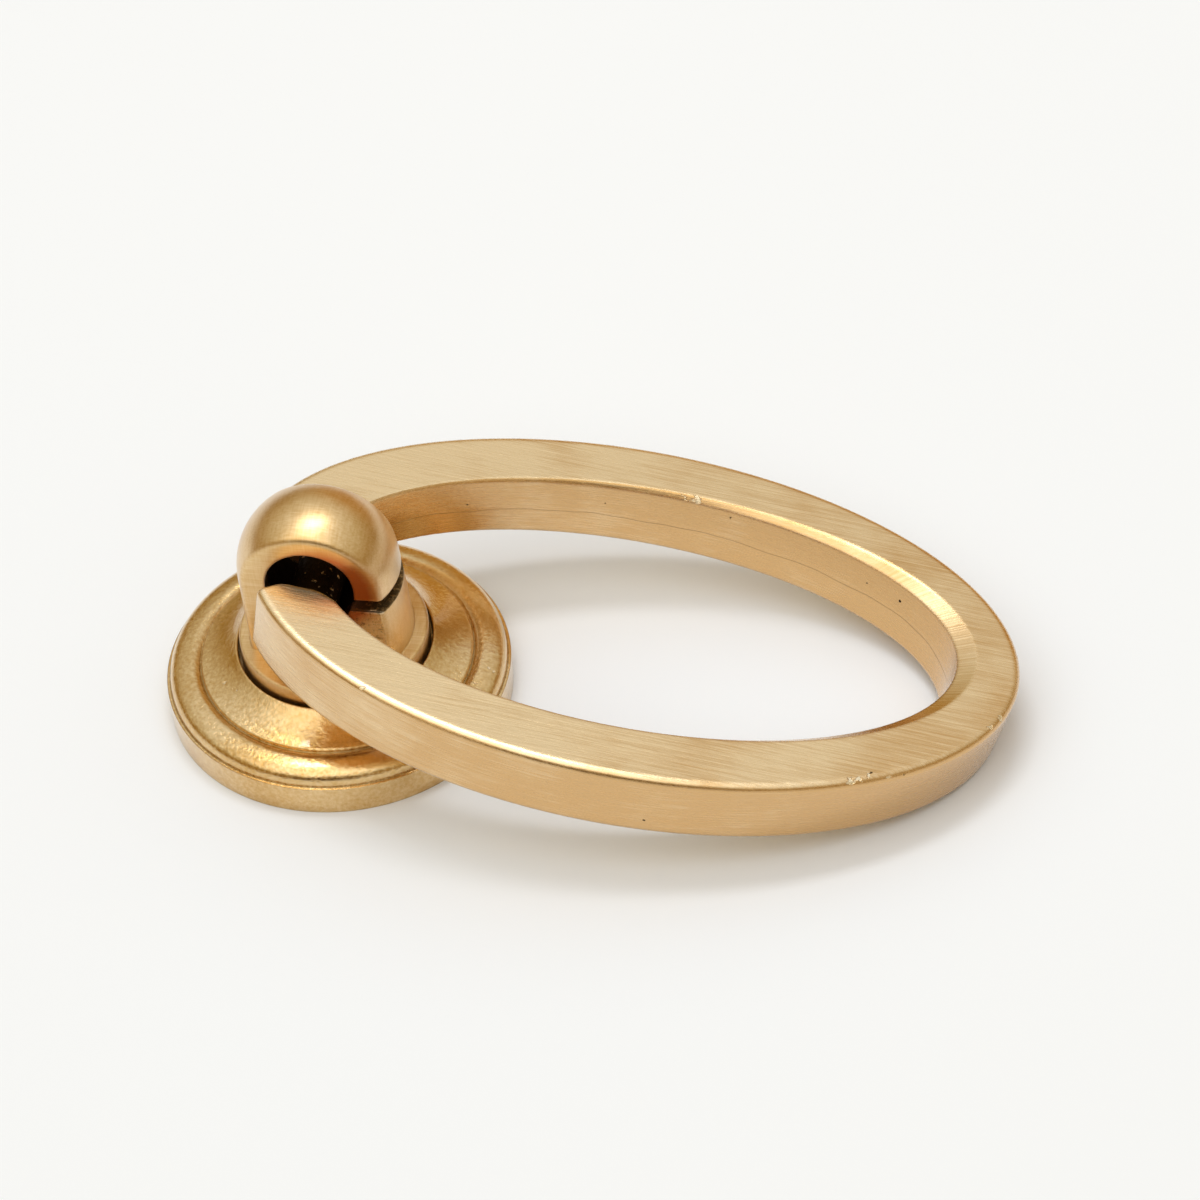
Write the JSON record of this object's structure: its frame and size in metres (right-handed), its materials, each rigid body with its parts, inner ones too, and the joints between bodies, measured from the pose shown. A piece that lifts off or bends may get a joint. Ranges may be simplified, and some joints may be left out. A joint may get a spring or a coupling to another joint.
{
  "type": "ring pull handle",
  "caption": "Oval drop-ring pull on a hook-headed post in a stepped round rosette, cast in satin brass, for cabinet doors and drawers.",
  "frame": {"origin": "centre of the rosette's back face, where the screw hole in the post opens", "axes": "+Z out of the drawer front along the post; +X from the post towards the far end of the ring as it lies; +Y completes the right-handed set"},
  "size_m": [0.0792, 0.0411, 0.0235],
  "materials": {
    "rosette_brass": "satin",
    "post_brass": "satin",
    "ring_brass": "brushed"
  },
  "bodies": {
    "base": {"rosette": "rosette_brass", "post": "post_brass"},
    "ring": {"ring": "ring_brass"}
  },
  "joints": [
    {"name": "ring_swing", "type": "hinge", "parent": "base", "child": "ring", "pos_m": [-0.0006, 0, 0.01428], "axis": [0, -1, 0], "range_deg": [0, 199]}
  ]
}
